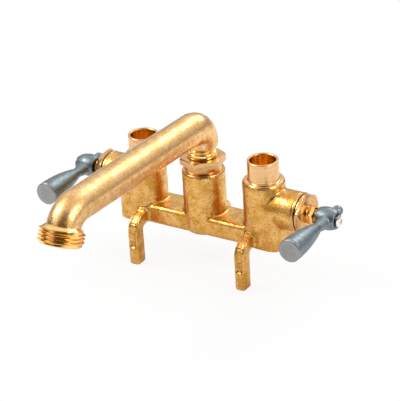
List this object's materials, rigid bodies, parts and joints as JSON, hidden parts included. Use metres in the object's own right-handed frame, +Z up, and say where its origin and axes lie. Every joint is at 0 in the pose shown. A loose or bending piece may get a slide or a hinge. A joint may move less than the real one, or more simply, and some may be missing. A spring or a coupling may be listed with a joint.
{
  "type": "utility sink faucet",
  "caption": "Clamp-on laundry tray faucet in rough cast brass: bar body on legs, swing spout with hose thread, horizontal lever valves and solder sockets.",
  "frame": {"origin": "on the axis of the middle post, at the underside of the bar that rests on the ledge", "axes": "+X along the bar towards the right valve, -Y to the front where the spout points, +Z up"},
  "size_m": [0.1914, 0.1892, 0.1032],
  "materials": {
    "cast_brass": "rough sand-cast brass with a fine grain",
    "spout_brass": "paler cast brass, tumbled smooth",
    "turned_brass": "smooth turned brass with fine tool marks",
    "handle_metal": "satin grey plated die casting",
    "screw_chrome": "bright plated",
    "clamp_steel": "plain zinc-plated steel",
    "ring_steel": "spring steel",
    "rubber_seal": "matte black rubber",
    "fibre": "dull red-brown fibre"
  },
  "bodies": {
    "faucet_body": {"body_casting": "cast_brass", "spout_nut": "turned_brass", "right_valve_seat": "turned_brass", "right_bonnet_gasket": "fibre", "right_bonnet": "turned_brass", "right_packing_ring": "fibre", "right_packing_nut": "turned_brass", "left_valve_seat": "turned_brass", "left_bonnet_gasket": "fibre", "left_bonnet": "turned_brass", "left_packing_ring": "fibre", "left_packing_nut": "turned_brass"},
    "swing_spout": {"spout": "spout_brass", "spout_retaining_ring": "ring_steel", "spout_thrust_washer": "fibre", "spout_o_ring": "rubber_seal"},
    "clamp": {"clamp_screw": "clamp_steel"},
    "right_washer_lift": {"right_seat_washer": "rubber_seal"},
    "right_handle": {"right_valve_stem": "turned_brass", "right_lever_handle": "handle_metal", "right_handle_screw": "screw_chrome", "right_washer_screw": "turned_brass"},
    "left_washer_lift": {"left_seat_washer": "rubber_seal"},
    "left_handle": {"left_valve_stem": "turned_brass", "left_lever_handle": "handle_metal", "left_handle_screw": "screw_chrome", "left_washer_screw": "turned_brass"}
  },
  "joints": [
    {"name": "spout_swing", "type": "hinge", "parent": "faucet_body", "child": "swing_spout", "pos_m": [0, 0, 0.045], "axis": [0, 0, 1], "range_deg": [-57.9, 62.1]},
    {"name": "clamp_feed", "type": "slide", "parent": "faucet_body", "child": "clamp", "axis": [0, -1, 0], "range_m": [-0.002, 0.01]},
    {"name": "right_stem_lift", "type": "slide", "parent": "faucet_body", "child": "right_washer_lift", "axis": [1, 0, 0], "range_m": [0, 0.0015]},
    {"name": "right_handle_turn", "type": "hinge", "parent": "right_washer_lift", "child": "right_handle", "pos_m": [0.0868, 0, 0.025], "axis": [-1, 0, 0], "range_deg": [0, 180]},
    {"name": "left_stem_lift", "type": "slide", "parent": "faucet_body", "child": "left_washer_lift", "axis": [-1, 0, 0], "range_m": [0, 0.0015]},
    {"name": "left_handle_turn", "type": "hinge", "parent": "left_washer_lift", "child": "left_handle", "pos_m": [-0.0868, 0, 0.025], "axis": [-1, 0, 0], "range_deg": [0, 180]}
  ],
  "couplings": [
    {"joint": "right_stem_lift", "follows": "right_handle_turn", "m_per_rad": 0.00047746},
    {"joint": "left_stem_lift", "follows": "left_handle_turn", "m_per_rad": 0.00047746}
  ]
}
